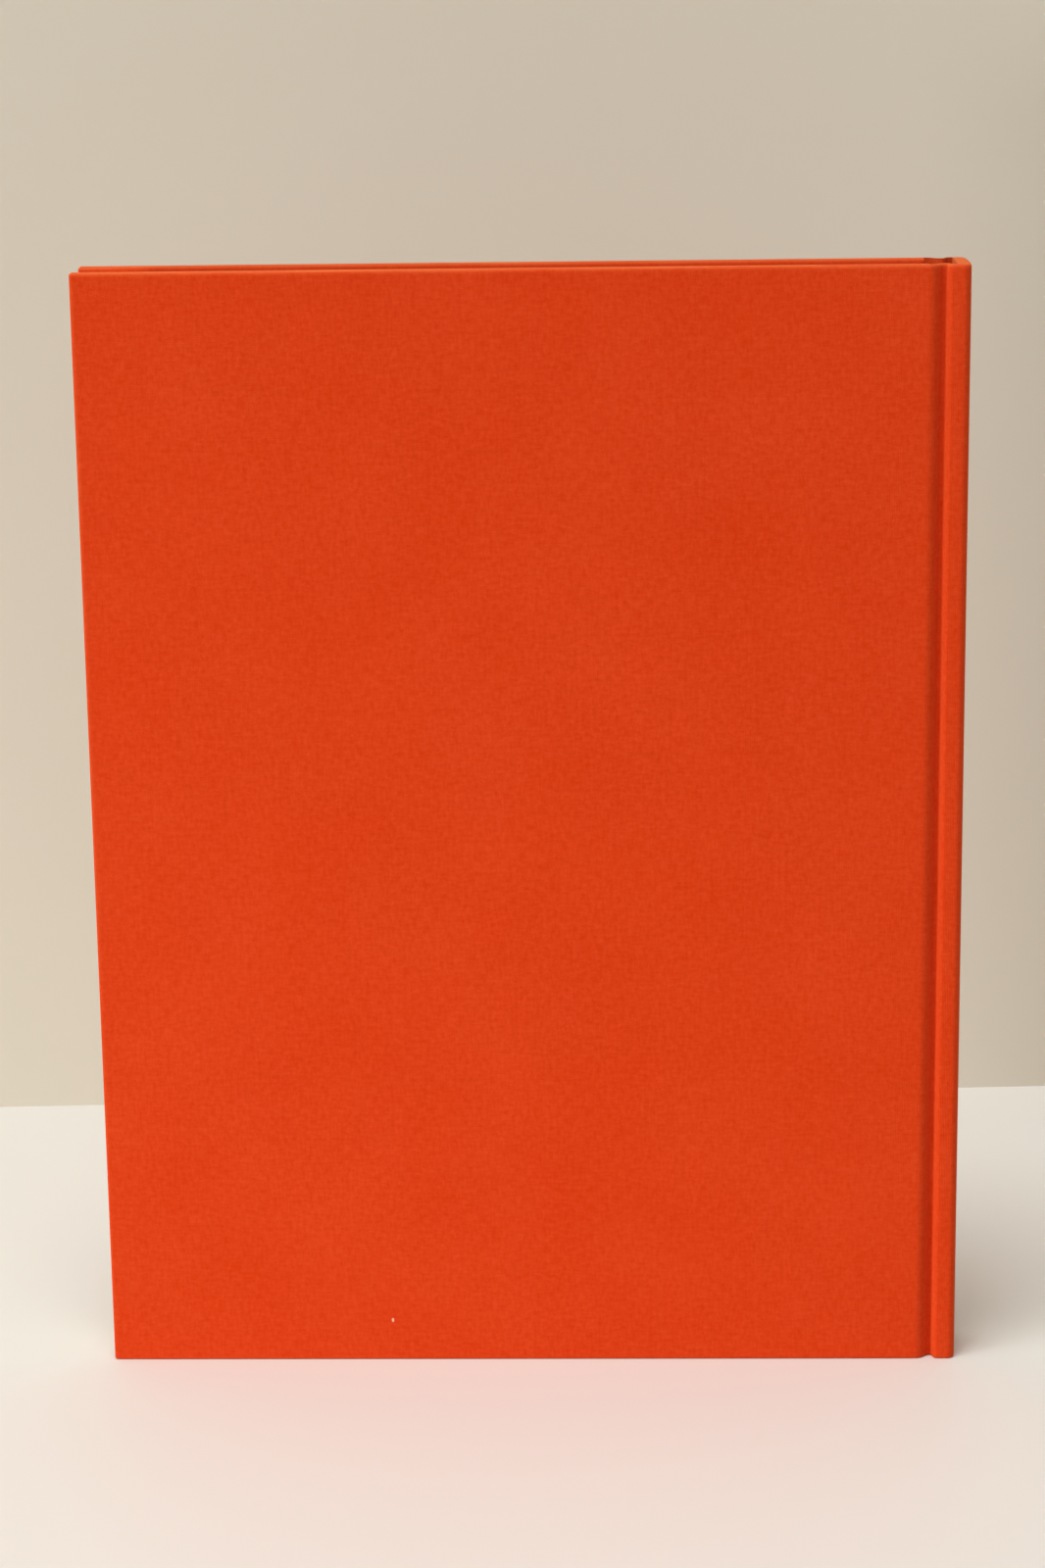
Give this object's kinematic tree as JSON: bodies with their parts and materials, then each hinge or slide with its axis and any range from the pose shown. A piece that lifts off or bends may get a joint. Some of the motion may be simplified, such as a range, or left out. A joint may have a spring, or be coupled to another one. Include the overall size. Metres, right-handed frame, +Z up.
{
  "type": "cloth-bound hardcover book",
  "caption": "Upright hardcover book in plain cloth, with hinged covers, joint grooves beside a flat spine, a page block, endpapers and head bands.",
  "frame": {"origin": "middle of the bottom of the bounding box, on the surface the tail edges stand on", "axes": "+Z up to the head, +X from the fore edge to the spine, +Y from the back cover to the front cover"},
  "size_m": [0.241, 0.02, 0.311],
  "materials": {
    "cover_cloth": "matte plain weave",
    "binders_board": "matte",
    "pages": "cut edges",
    "endpaper": "matte",
    "mull": "open gauze",
    "lining_paper": "matte",
    "band_cloth": "wound thread"
  },
  "bodies": {
    "pages_and_spine": {"text_block": "pages", "back_flyleaf": "endpaper", "front_flyleaf": "endpaper", "mull": "mull", "spine_lining": "lining_paper", "head_band": "band_cloth", "tail_band": "band_cloth", "spine_card": "binders_board", "spine_cloth": "cover_cloth"},
    "back_cover": {"back_board": "binders_board", "back_cover_cloth": "cover_cloth", "back_pastedown": "endpaper"},
    "front_cover": {"front_board": "binders_board", "front_cover_cloth": "cover_cloth", "front_pastedown": "endpaper"}
  },
  "joints": [
    {"name": "back_cover_hinge", "type": "hinge", "parent": "pages_and_spine", "child": "back_cover", "pos_m": [0.1104, -0.0095, 0.1555], "axis": [0, 0, 1], "range_deg": [0, 135]},
    {"name": "front_cover_hinge", "type": "hinge", "parent": "pages_and_spine", "child": "front_cover", "pos_m": [0.1104, 0.0095, 0.1555], "axis": [0, 0, -1], "range_deg": [0, 135]}
  ]
}
